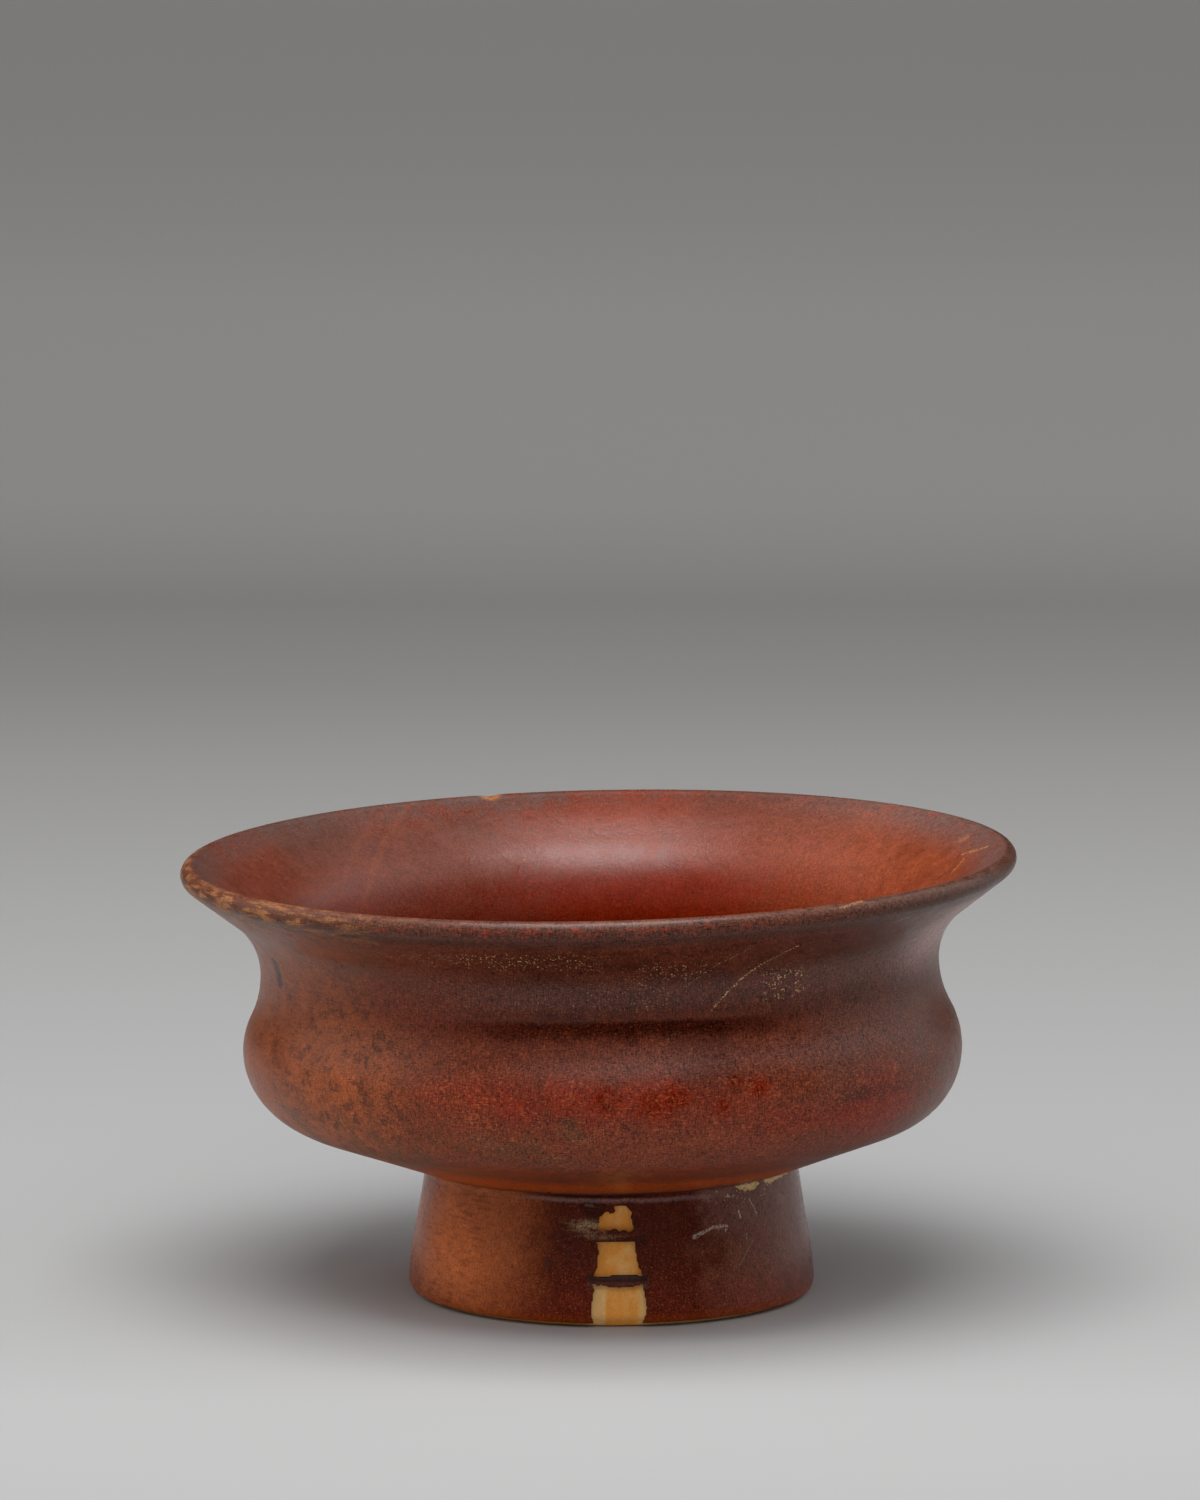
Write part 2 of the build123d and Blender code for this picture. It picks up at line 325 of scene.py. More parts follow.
class Finish(Nodes):
    """Procedural material on object coordinates in millimetres; base is the colour painted so far."""

    def __init__(self, name):
        self.material = bpy.data.materials.new(name)
        self.material.use_nodes = True
        super().__init__(self.material.node_tree)
        self.place = self.scaled(self.node("ShaderNodeTexCoord", {}, {}, "Object"), 1 / MM)
        self.x, self.y, self.z = self.parts(self.place)

    def paint(self, amount, colour):
        """Lays a colour over what is painted so far, by an amount from 0 to 1."""
        self.base = self.mix(amount, self.base, colour)

    def dim(self, factor):
        """Multiplies what is painted so far by a factor."""
        self.base = self.vectors("MULTIPLY", self.base, self.vector(factor, factor, factor))

    def cloud(self, place, size, detail=3.0, roughness=0.55, output="Fac"):
        """Soft noise with forms of about size millimetres."""
        sockets = {"Vector": place, "Scale": 1 / size, "Detail": detail, "Roughness": roughness}
        return self.node("ShaderNodeTexNoise", {"noise_dimensions": "3D"}, sockets, output)

    def dashes(self, run, size, stretch, detail=2.0):
        """Noise drawn out round the axis; run gives the place along the outline."""
        flat = self.vector(self.x, self.y, 0.0)
        around = self.scaled(self.vectors("NORMALIZE", flat), STREAK_RADIUS / stretch)
        place = self.vectors("ADD", around, self.vector(0.0, 0.0, run))
        return self.cloud(place, size, detail, 0.6)

    def scatter(self, place, size, radius, share):
        """Dots of a radius, in about the given share of the cells of a scatter."""
        settings = {"voronoi_dimensions": "3D", "feature": "F1"}
        sockets = {"Vector": place, "Scale": 1 / size}
        reach, lot = self.node("ShaderNodeTexVoronoi", settings, sockets, ("Distance", "Color"))
        chance = self.node("ShaderNodeSeparateColor", {}, {"Color": lot}, "Red")
        edge = radius / size
        return reach.rise(edge * 1.3, edge * 0.6) * chance.rise(1 - share, 1 - share + 0.05)

    def ragged(self, place, size, reach):
        """Place pushed about by noise, so that what is drawn with it has ragged edges."""
        push = self.vectors("SUBTRACT", self.cloud(place, size, 3.0, 0.6, "Color"), (0.5, 0.5, 0.5))
        return self.vectors("ADD", place, self.scaled(push, reach))

    def spot(self, place, centre, radius, soft):
        """Round patch about a centre."""
        reach = self.vectors("DISTANCE", place, centre, output="Value")
        return reach.rise(radius + soft, radius - soft)

    def line(self, place, start, end, width):
        """Thin line between two points."""
        run = Vector(end) - Vector(start)
        out = self.vectors("SUBTRACT", place, start)
        along = self.vectors("DOT_PRODUCT", out, tuple(run), output="Value") / run.length_squared
        reach = self.vectors("DISTANCE", out, self.scaled(tuple(run), along.limit()), output="Value")
        return reach.rise(width, width * 0.35)

    def surface(self, sockets, bumps, *layers):
        """Ends the finish: bumps are height and depth pairs, layers are shares with their own sockets."""
        normal = None
        for height, depth in bumps:
            wants = {"Strength": 1.0, "Distance": depth * MM, "Height": height}
            if normal:
                wants["Normal"] = normal
            normal = self.node("ShaderNodeBump", {}, wants)
        if normal:
            sockets["Normal"] = normal
        shader = self.node("ShaderNodeBsdfPrincipled", {}, sockets)
        for share, others in layers:
            layer = self.node("ShaderNodeBsdfPrincipled", {}, {**sockets, **others})
            shader = self.node("ShaderNodeMixShader", {}, {0: share, 1: shader, 2: layer})
        self.node("ShaderNodeOutputMaterial", {}, {"Surface": shader})
        return self.material


# Finishes

# How strongly parts of the coat bend light, which sets their shine
OUTER_IOR = 1.28
INNER_IOR = 1.45
FOOT_IOR = 1.22
CALM_IOR = 1.08
LIP_IOR = 1.6

# Millimetres round the wall for each degree, on the bowl and on the foot
ROUND_BOWL = 0.93
ROUND_FOOT = 0.5

# Radius of the foot's front, and the radius at which round streaks have their stated length
FOOT_FRONT = 28.7
STREAK_RADIUS = 50.0

# Place of the chip in the back of the lip, in degrees from the front
CHIP_SIDE = -162.2


def on_bowl(angle, way):
    """Place on the bowl's unrolled wall: degrees from the front and millimetres from the lip."""
    return angle * ROUND_BOWL, way, 0.0


def on_foot(x, height):
    """Place on the foot's unrolled side, from a sideways place on its front, in millimetres."""
    return degrees(asin(x / FOOT_FRONT)) * ROUND_FOOT, height, 0.0


class GlossFinish(Finish):
    """Gloss coat: the noises and the unrolled place that all its marks share."""

    def __init__(self, name, colours, round_by):
        super().__init__(name)
        self.colours = colours
        self.side = self.maths("ARCTAN2", self.x, 0.0 - self.y) * (180 / pi)
        self.clouds = self.cloud(self.place, 22.0, 3.0, 0.5)
        self.mottle = self.cloud(self.place, 3.4, 6.0, 0.65)
        self.grain = self.cloud(self.place, 0.24, 2.0, 0.7)
        self.round_by = round_by
        self.mark = self.node("ShaderNodeAttribute", {"attribute_name": "run"}, {}, "Fac")

    def unroll(self, height):
        """Place on the unrolled wall, and the same place shaken, for torn edges."""
        self.height = height
        self.across = self.side * self.round_by
        self.sheet = self.vector(self.across, height, 0.0)
        self.shaken = self.ragged(self.sheet, 1.2, 0.5)
        self.torn = self.ragged(self.sheet, 2.2, 1.8)
        self.threads = self.dashes(height, 0.18, 3.5, 3.0)
        self.hatch = self.cloud(self.vector(self.across, height * 0.2, 0.0), 0.22, 2.0, 0.6)

    def scratches(self, place_on, colour, gaps, marks):
        """Thin lines, broken by gaps, given as start, end, width and strength."""
        broken = self.grain.rise(gaps, gaps + 0.12)
        for start, end, width, strength in marks:
            mark = self.line(self.shaken, place_on(*start), place_on(*end), width)
            self.paint(mark * broken * strength, colour)

    def end(self, left, rough, fineness, ior, *shares):
        """Dark spots, fine grain and the shader; shares of the surface may bend light by other amounts."""
        spots = self.cloud(self.place, 1.1, 4.0, 0.7).rise(0.67, 0.75) * self.mottle.rise(0.46, 0.60)
        self.paint(spots * (0.4 + left * 0.3), self.colours.soot)
        fine = (self.grain + self.threads + self.hatch - 1.5) * 1.7
        tone = (self.mottle - 0.5) * 0.8 + fine * fineness
        self.dim((tone + 0.97).maths("MAXIMUM", 0.2))
        self.paint(self.grain.rise(0.60, 0.74) * fineness * 0.3, self.colours.fleck)
        sockets = {"Base Color": self.base, "Roughness": rough.limit(), "IOR": ior}
        layers = [(share, {"IOR": other}) for share, other in shares]
        return self.surface(sockets, [(self.mottle, 0.10), (self.grain, 0.02)], *layers)


# Masks below use millimetres from the lip, or height on the foot, and degrees from the front

# Glassy patches round the belly: degrees from the front, millimetres from the lip and radius
GLASSY_PATCHES = (
    (-0.8, 33.9, 1.9), (6.0, 35.0, 2.0), (9.8, 34.4, 2.3),
    (17.7, 35.6, 1.2), (20.0, 32.4, 1.1), (24.0, 33.3, 1.5),
)

# Clusters of specks in the neck: degrees from and to, millimetres from the lip from and to, and amount
SPECK_CLUSTERS = (
    ((-23.0, -2.0), (8.0, 12.6), 1.0), ((3.0, 15.0), (11.5, 15.5), 0.9),
    ((2.0, 9.0), (15.5, 20.5), 0.5), ((25.0, 33.0), (15.5, 20.5), 1.0),
    ((-34.0, -22.0), (8.0, 12.5), 0.4), ((-16.0, 2.0), (17.0, 21.0), 0.25),
)


def bowl_outside(made):
    """Paints the outside, orange on the left, dark in the neck; gives the left and the calm places."""
    colours, run, side = made.colours, made.height, made.side
    uneven = (made.mottle - 0.5) * 40.0 + (made.clouds - 0.5) * 40.0
    left = (side + uneven).rise(-12.0, -56.0) * side.rise(-165.0, -125.0)
    right = (side + uneven).rise(20.0, 54.0) * side.rise(160.0, 120.0)
    neck = run.band(6.0, 24.0, 2.5) * (1.0 - left * 0.7)
    warmth = 0.5 + left * 0.42 - neck * 0.34 + (made.mottle - 0.5) * 0.6 + (made.clouds - 0.5) * 0.4
    made.base = made.mix(warmth.rise(0.05, 0.5), colours.dark_brown, colours.red_brown)
    made.paint(warmth.rise(0.5, 1.0), colours.orange_brown)
    # Painted shade and sheen: a darker, greyer brown over the right side
    made.paint(right * 0.72, colours.sheen_shade_brown)
    smoky = made.cloud(made.place, 5.0, 5.0, 0.65).rise(0.38, 0.60) * run.band(2.0, 19.0, 4.0)
    made.paint(smoky * side.band(-118.0, -30.0, 14.0) * 0.5, colours.umber)

    red_zone = run.band(31.0, 38.0, 2.5) * side.band(-30.0, 24.0, 12.0)
    red_zone = red_zone * (0.5 + made.mottle.rise(0.40, 0.58) * 0.55)
    red_side = made.spot(made.torn, on_bowl(49.0, 39.5), 6.0, 6.0)
    red_side = red_side + run.band(37.0, 41.0, 2.0) * side.band(24.0, 58.0, 8.0) * 0.75
    made.paint((red_zone + red_side).limit() * 0.83, colours.belly_red)
    streak = made.line(made.torn, on_bowl(40.0, 36.4), on_bowl(56.0, 36.6), 1.3)
    made.paint(streak * 0.5, colours.bruise)
    glassy = made.most(
        made.spot(made.torn, on_bowl(angle, way), radius, radius * 0.7)
        for angle, way, radius in GLASSY_PATCHES
    ) * made.mottle.rise(0.34, 0.54)
    made.paint(glassy * 0.95, colours.deep_red)
    # Painted shade: a darker patch on the shoulder right of the front
    painted_shade_patch = made.spot(made.torn, on_bowl(16.0, 28.2), 5.0, 4.0)
    made.paint(painted_shade_patch * 0.75, colours.dark_brown)
    # Painted shade: dark colour in the crease between neck and belly
    wavy = run + (made.mottle - 0.5) * 1.6 - side.rise(0.0, 30.0) * 0.4
    crease = wavy.rise(22.1, 23.0) * wavy.rise(26.4, 23.6) * side.band(-24.0, 27.0, 12.0)
    made.paint(crease * (0.72 + side.rise(-8.0, 6.0) * 0.25), colours.crease)
    made.paint(crease * made.grain.rise(0.48, 0.62) * 0.25, colours.belly_red)
    calm = (crease + glassy).limit()
    # Painted sheen: pale veil on the shoulder
    painted_sheen = run.band(27.0, 30.4, 1.6) * side.band(-10.0, 54.0, 14.0) * made.clouds.rise(0.25, 0.55)
    made.paint(painted_sheen * 0.14, colours.painted_sheen)
    # Painted sheen: pale veil on the right of the neck
    bloom = run.band(5.0, 20.0, 4.0) * side.band(59.0, 100.0, 9.0)
    made.paint(bloom * 0.95, colours.painted_sheen)
    sheen = run.band(16.5, 20.4, 1.2) * side.band(-24.0, 56.0, 12.0)
    made.paint(sheen * 0.12, colours.painted_sheen)

    burnt = made.spot(made.torn, on_bowl(-46.0, 36.0), 8.0, 6.0)
    made.paint(burnt * made.mottle.rise(0.40, 0.60) * 0.8, colours.burnt)
    olive = made.cloud(made.place, 6.0, 4.0, 0.6).rise(0.44, 0.60) * run.band(39.0, 54.0, 4.0)
    made.paint(olive * side.band(-88.0, -8.0, 14.0) * 0.6, colours.olive)
    bruise = made.cloud(made.ragged(made.place, 1.2, 1.4), 2.2, 5.0, 0.68).rise(0.525, 0.59)
    bruise = bruise * made.spot(made.sheet, on_bowl(-47.0, 33.0), 15.0, 9.0)
    made.paint(bruise * 0.6, colours.bruise)
    stain = made.spot(made.torn, on_bowl(-6.5, 38.5), 1.9, 0.9)
    made.paint(stain * 0.5, colours.olive)
    low = (run + (made.clouds - 0.5) * 8.0).band(58.5, 67.0, 4.0)
    made.paint(low * 0.85, colours.amber)
    # Lighter towards the underside, and the painted sheen on the right of the neck brightened further
    made.dim(1.0 + run.rise(36.0, 42.0) * 0.2 + bloom * 0.3)

    streaks = made.dashes(run, 0.28, 1.8)
    fine = streaks.rise(0.53, 0.64) * run.rise(22.0, 30.0) * (1.0 - run.rise(50.0, 57.0))
    made.paint(fine * (0.1 + made.mottle * 0.75), colours.fleck)
    lines = made.dashes(run, 0.26, 9.0, 3.0).rise(0.48, 0.64) * run.band(12.0, 52.0, 6.0)
    made.dim(0.97 + left * 0.07 - lines * (0.05 + left * 0.24))
    lively = made.dashes(run, 0.22, 2.4, 3.0).rise(0.51, 0.60)
    lively = lively * made.spot(made.torn, on_bowl(-23.0, 36.5), 4.0, 4.0)
    made.paint(lively * 0.6, colours.fleck)
    # Painted shade: dark line where the bowl meets the foot
    made.paint(run.rise(66.0, 67.4) * 0.8, colours.soot)
    pits = made.line(made.shaken, on_bowl(-68.7, 17.9), on_bowl(-69.2, 20.9), 1.5)
    made.paint(pits * 0.8, colours.soot)
    return left, calm


def lip_wear(made):
    """Paints a darker band under the lip, red spots and tan streaks; gives the worn places."""
    colours, run, side = made.colours, made.height, made.side
    made.paint(run.band(-1.0, 1.6, 0.8) * 0.5, colours.lip_shade)
    made.paint(run.band(1.1, 6.1, 0.9) * 0.66, colours.lip_shade)
    spots = made.dashes(run, 0.5, 2.2, 3.0).rise(0.55, 0.62)
    spots = spots * run.band(1.6, 3.4, 0.6) * side.band(-38.0, 20.0, 10.0)
    made.paint(spots * 0.5, colours.lip_red)
    fibres = made.dashes(run, 0.7, 5.0, 5.0)
    worn = run.band(1.5, 6.4, 1.8) * side.band(-102.0, -38.0, 12.0) * 0.95
    worn = worn + run.band(-0.4, 1.4, 0.6) * (side.band(-112.0, -40.0, 14.0) * 0.2 + 0.10)
    wear = (fibres.rise(0.46, 0.56) * made.mottle.rise(0.34, 0.52) * worn).limit()
    made.paint(wear * 0.85, colours.tan)
    smoke = made.dashes(run, 1.1, 4.0, 5.0).rise(0.47, 0.57) * made.mottle.rise(0.36, 0.54)
    smoke = smoke * run.band(3.4, 8.0, 2.0) * side.band(-110.0, -26.0, 14.0)
    made.paint(smoke * (1.0 - wear) * 0.85, colours.bruise)
    return wear


def bowl_inside(made):
    """Paints the inside: deep red below, orange and fibrous on the right."""
    colours, run, side = made.colours, made.height, made.side
    uneven = (made.mottle - 0.5) * 60.0
    wall = (run + (made.clouds - 0.5) * 10.0).rise(-34.0, -24.0)
    right = (side + uneven).rise(168.0, 128.0) * side.rise(15.0, 60.0) * wall
    left = (side + uneven).rise(-178.0, -150.0) * side.rise(-20.0, -60.0) * wall
    made.base = made.mix(run.rise(-13.0, -20.0), colours.inner_red, colours.inner_deep)
    floor = run.rise(-30.0, -40.0) * (made.clouds + made.mottle - 0.5).rise(0.25, 0.75)
    made.paint(floor * 0.7, colours.inner_red)
    made.paint((right * (0.2 + made.mottle)).limit(), colours.inner_orange)
    dull = run.rise(-15.0, -4.0) * made.clouds.rise(0.40, 0.62) * 0.45
    made.paint((dull + left * 0.55).limit(), colours.inner_dull)
    edge = run.rise(-7.0, -1.5) * made.mottle.rise(0.36, 0.58) * (0.45 + right * 0.4 + left * 0.35)
    made.paint(edge, colours.lip_shade)
    # Painted sheen: a paler veil inside the rim, most on the right
    made.paint(run.rise(-9.0, -2.0) * (right * 0.28 + left * 0.12), colours.painted_sheen)
    fibres = made.dashes(run, 0.45, 2.4, 4.0).rise(0.54, 0.66)
    made.paint(fibres * (0.08 + right * 0.22), colours.fleck)
    for start, end, width, strength in (
        ((-129.3, -18.5), (-150.0, -0.5), 0.8, 0.10), ((-126.0, -15.0), (-146.0, -1.0), 0.7, 0.07),
    ):
        mark = made.line(made.shaken, on_bowl(*start), on_bowl(*end), width)
        made.paint(mark * strength, colours.fleck)
    made.scratches(on_bowl, colours.tan, 0.42, (
        ((101.7, -6.0), (96.0, -2.8), 0.5, 0.8), ((96.0, -9.2), (98.6, -6.6), 0.4, 0.7),
        ((108.8, -4.2), (107.6, -3.6), 1.2, 0.5),
    ))


def neck_specks(made):
    """Paints cream specks in clusters under the lip, and scratches down to the pale body."""
    run, side = made.height, made.side
    areas = made.most(
        side.band(*angles, 4.0) * run.band(*ways, 1.6) * amount
        for angles, ways, amount in SPECK_CLUSTERS
    ).maths("MAXIMUM", run.band(7.0, 21.0, 2.0) * 0.12)
    loose = made.cloud(made.place, 1.2, 3.0, 0.6).rise(0.36, 0.50)
    specks = made.scatter(made.ragged(made.place, 0.3, 0.45), 0.42, 0.12, 0.65) * loose
    made.paint(specks * areas, made.colours.cream)
    coarse = made.scatter(made.ragged(made.place, 0.5, 0.8), 0.9, 0.22, 0.45)
    coarse = coarse * side.band(25.0, 33.0, 3.0) * run.band(16.0, 20.5, 1.2)
    made.paint(coarse * 0.9, made.colours.cream)
    made.scratches(on_bowl, made.colours.tan, 0.42, (
        ((45.0, 6.4), (47.4, 5.7), 0.36, 0.75), ((33.0, 1.3), (37.0, 0.5), 0.34, 0.6),
    ))
    made.scratches(on_bowl, made.colours.cream, 0.49, (
        ((16.8, 21.4), (28.5, 9.4), 0.23, 0.95), ((12.5, 17.0), (20.4, 8.7), 0.2, 0.35),
        ((-11.0, 44.8), (0.4, 36.9), 0.25, 0.10), ((-7.4, 40.2), (-2.7, 40.2), 0.2, 0.25),
        ((5.0, 29.5), (10.5, 24.5), 0.5, 0.08),
    ))


def bowl_gloss(colours):
    """Red gloss of the bowl."""
    made = GlossFinish("bowl_red_gloss", colours, ROUND_BOWL)
    made.unroll(made.mark / MM)
    left, calm = bowl_outside(made)
    wear = lip_wear(made)
    neck_specks(made)
    outer = made.base
    bowl_inside(made)
    made.paint(made.height.rise(-0.5, 0.5), outer)
    chip = made.spot(made.shaken, on_bowl(CHIP_SIDE, 0.0), 1.4, 0.6)
    made.paint(chip * 0.7, colours.tan)
    lip = made.height.band(-1.2, 1.0, 0.6)
    rough = 0.34 + (made.mottle - 0.5) * 0.4 + wear * 0.2 - lip * 0.06
    fineness = made.height.rise(-1.0, 2.0) * (0.7 - left * 0.7) + 0.7
    shiny = made.height.rise(-4.0, -9.0) * made.height.rise(-19.5, -15.5)
    shiny = shiny * (0.4 + abs(made.side).rise(105.0, 150.0) * 0.6)
    calm = calm + made.height.band(-24.0, -14.0, 3.0) * made.side.band(95.0, 150.0, 12.0) * 0.6
    shares = (shiny, INNER_IOR), (lip, LIP_IOR), (calm, CALM_IOR)
    return made.end(left, rough, fineness, OUTER_IOR, *shares)


def foot_gloss(colours):
    """Red gloss of the foot: orange-brown on the left, nearly black-red in front."""
    made = GlossFinish("foot_red_gloss", colours, ROUND_FOOT)
    made.unroll(made.z)
    side, across, z = made.side, made.across, made.z
    uneven = (made.mottle - 0.5) * 28.0
    left = (side + uneven).rise(-13.0, -48.0) * side.rise(-170.0, -120.0)
    right = (side + uneven).rise(21.0, 37.0) * side.rise(165.0, 120.0)
    back = abs(side).rise(110.0, 150.0) * made.clouds.rise(0.42, 0.6)
    made.base = made.mix((left + back * 0.5).limit(), colours.foot_dark, colours.foot_orange)
    # Painted sheen: a lighter, greyer brown over the right of the foot
    made.paint(right * 0.85, colours.foot_sheen_brown)
    # Painted sheen: pale veil on the right of the foot, more towards its top, and at its far left edge
    pale = side.rise(46.0, 66.0) * 0.3 + z.rise(11.0, 17.0) * 0.2
    made.paint(pale * right + side.rise(-62.0, -76.0) * left * 0.15, colours.painted_sheen)
    made.paint(side.rise(48.0, 60.0) * z.rise(9.0, 4.0) * right * 0.45, colours.bruise)
    low = z.rise(10.0, 2.0) * side.band(-34.0, 80.0, 15.0)
    made.paint((low * made.mottle * 0.7).limit(), colours.belly_red)
    streaks = made.dashes(z, 0.5, 7.0, 4.0)
    patchy = streaks.rise(0.48, 0.62) * 0.5 + made.clouds.rise(0.44, 0.62) * 0.4 + z.rise(7.0, 2.0) * 0.45
    patchy = patchy + side.rise(-58.0, -76.0) * 0.4 + z.rise(11.0, 18.0) * 0.2
    made.paint(patchy.limit() * left * 0.8, colours.red_brown)
    smoky = made.mottle.rise(0.52, 0.62) * made.spot(made.torn, on_foot(-9.5, 12.0), 4.0, 3.0)
    made.paint(smoky * 0.6, colours.bruise)
    made.paint(made.grain.rise(0.54, 0.70) * (0.25 + z.rise(14.0, 5.0) * 0.3), colours.fleck)
    heel = (z + (made.mottle - 0.5) * 2.0).rise(2.4, 1.2)
    made.paint(heel * 0.35, colours.amber)
    blotch = made.spot(made.torn, on_foot(-3.0, 17.4), 1.5, 0.8)
    made.paint(blotch * 0.6, colours.crease)

    # Strips between the flaked windows in a dull colour, with painted shade along a dark edge of each
    strips = across.band(-3.4, 5.2, 0.4)
    made.paint(strips * z.band(5.9, 8.1, 0.3), colours.curl)
    made.paint(strips * z.band(7.0, 8.2, 0.3) * 0.9, colours.crease)
    made.paint(strips * z.band(12.4, 13.1, 0.25) * 0.6, colours.crease)

    # Dusty smear beside the top window, scuffs, and chips under the bowl on the right
    dust = streaks.rise(0.36, 0.58) * made.grain.rise(0.30, 0.60)
    smear = across.rise(-8.5, -3.0) * across.rise(-0.6, -1.4) * z.band(14.3, 15.8, 0.7) * 0.9
    lower = across.band(-5.0, 2.0, 1.2) * z.band(13.2, 13.9, 0.3) * 0.3
    made.paint((smear + lower).limit() * dust, colours.dust)
    # Painted highlight: a pale line along the fillet under the bowl
    ridge_highlight = (z + (made.mottle - 0.5) * 0.8).band(18.45, 19.05, 0.25) * side.band(-26.0, 32.0, 8.0)
    made.paint(ridge_highlight * 0.5, colours.painted_sheen)
    # Painted shade: a dark line at the joint under the bowl
    joint_shade = z.rise(19.1, 19.5) * side.band(-22.0, 14.0, 6.0)
    made.paint(joint_shade * 0.8, colours.crease)
    made.scratches(on_foot, colours.scuff, 0.41, (
        ((12.1, 13.0), (13.5, 13.6), 0.44, 0.75), ((13.5, 13.6), (14.9, 14.1), 0.26, 0.6),
        ((14.9, 14.1), (17.0, 14.1), 0.36, 0.75), ((17.0, 14.1), (16.9, 13.4), 0.3, 0.7),
        ((20.8, 17.4), (21.6, 15.2), 0.22, 0.6), ((19.0, 15.9), (19.2, 15.0), 0.3, 0.7),
        ((19.8, 12.4), (19.7, 11.8), 0.2, 0.5), ((18.3, 8.1), (20.5, 11.3), 0.18, 0.2),
        ((17.2, 18.4), (18.6, 18.2), 0.25, 0.6), ((-3.9, 18.2), (-2.7, 18.0), 0.3, 0.2),
    ))
    near_chips = across.band(16.0, 29.0, 2.5) * z.rise(16.0, 18.6)
    crumbs = made.scatter(made.ragged(made.place, 0.4, 0.4), 0.6, 0.14, 0.5) * near_chips
    made.paint(crumbs * 0.8, colours.cream)
    made.paint(made.mark.rise(0.3, 0.7), colours.cream)
    rough = 0.25 + (made.mottle - 0.5) * 0.4 + made.mark * 0.4
    return made.end(left, rough, 0.9 - left * 0.3, FOOT_IOR)


def bare_clay(colours):
    """Bare clay: ochre with paler streaks and fine pores."""
    made = Finish("bare_clay")
    clouds = made.cloud(made.place, 3.0, 4.0, 0.6)
    grain = made.cloud(made.place, 0.35, 3.0, 0.6)
    upright = made.cloud(made.vectors("MULTIPLY", made.place, (1.0, 1.0, 0.25)), 0.9, 3.0, 0.6)
    strips = made.x.band(-3.6, -0.9, 0.25) + made.x.rise(3.4, 4.6)
    strips = strips.limit() * made.z.rise(7.0, 6.4) * made.y.rise(-20.0, -24.0)
    made.base = made.mix(clouds.rise(0.50, 0.80), colours.ochre, colours.pale)
    made.paint((strips * (0.45 + clouds)).limit(), colours.pale)
    made.paint(upright.rise(0.52, 0.70) * 0.35, colours.pale)
    made.paint(grain.rise(0.62, 0.74) * 0.6, colours.pore)
    made.dim(0.8 + grain * 0.4)
    return made.surface(
        {"Base Color": made.base, "Roughness": 0.82, "Specular IOR Level": 0.3},
        [(clouds, 0.06), (grain, 0.05)],
    )


def luting_slip(colours):
    """Fine slip that holds bowl and foot together."""
    made = Finish("luting_slip")
    grain = made.cloud(made.place, 0.4, 4.0, 0.6)
    base = made.mix(grain.rise(0.35, 0.7), colours.luting, colours.ochre)
    return made.surface(
        {"Base Color": base, "Roughness": 0.85, "Specular IOR Level": 0.3}, [(grain, 0.05)]
    )


# Floor: metres from the bowl to where its shading starts, metres that it spans, and brightness on the way
FLOOR_START = -0.3
FLOOR_SPAN = 3.3
FLOOR_STOPS = (
    (0.0, 0.36), (0.047, 0.385), (0.066, 0.415), (0.10, 0.385), (0.138, 0.385), (0.198, 0.37),
    (0.249, 0.345), (0.282, 0.31), (0.318, 0.30), (0.369, 0.46), (0.496, 0.73), (0.786, 1.0),
)


def studio_floor():
    """Pale floor with painted light and shade: it darkens slowly towards the back and lightens again far
    behind.
    """
    made = Finish("studio_floor")
    share = (made.y * MM - FLOOR_START) / FLOOR_SPAN
    base = made.node("ShaderNodeValToRGB", {"stops": FLOOR_STOPS}, {"Fac": share})
    warm = made.mix(share.rise(0.14, 0.27), (1.0, 1.0, 1.0), (1.0, 0.985, 0.955))
    base = made.vectors("MULTIPLY", base, warm)
    return made.surface({"Base Color": base, "Roughness": 0.7, "Specular IOR Level": 0.2}, [])


# Outlines

def polar(centre, radius, angle):
    """Point at a radius and angle, in radians, from a centre in the outline's plane."""
    return centre[0] + radius * cos(angle), centre[1] + radius * sin(angle)


class Outline:
    """Chain of edges in the XZ plane, drawn by a moving tip."""

    def __init__(self, mesh, start):
        self.mesh = mesh
        self.tip = mesh.verts.new((start[0], 0, start[1]))
        self.chain = [self.tip]

    def line(self, end, spacing):
        """Straight run to a point."""
        run = Vector((end[0], 0, end[1])) - self.tip.co
        steps = max(1, round(run.length / spacing))
        for _ in range(steps):
            self.tip = bmesh.ops.extrude_vert_indiv(self.mesh, verts=[self.tip])["verts"][0]
            bmesh.ops.translate(self.mesh, verts=[self.tip], vec=run / steps)
            self.chain.append(self.tip)

    def arc(self, centre, angle, spacing):
        """Round run about a centre; a positive angle turns from X towards Z."""
        pivot = Vector((centre[0], 0, centre[1]))
        steps = max(2, round((self.tip.co - pivot).length * abs(angle) / spacing))
        for _ in range(steps):
            made = bmesh.ops.spin(
                self.mesh, geom=[self.tip], cent=pivot, axis=(0, -1, 0), angle=angle / steps, steps=1
            )
            self.tip = next(v for v in made["geom_last"] if isinstance(v, bmesh.types.BMVert))
            self.chain.append(self.tip)

    def close(self):
        """Edge back to the start."""
        self.mesh.edges.new((self.tip, self.chain[0]))


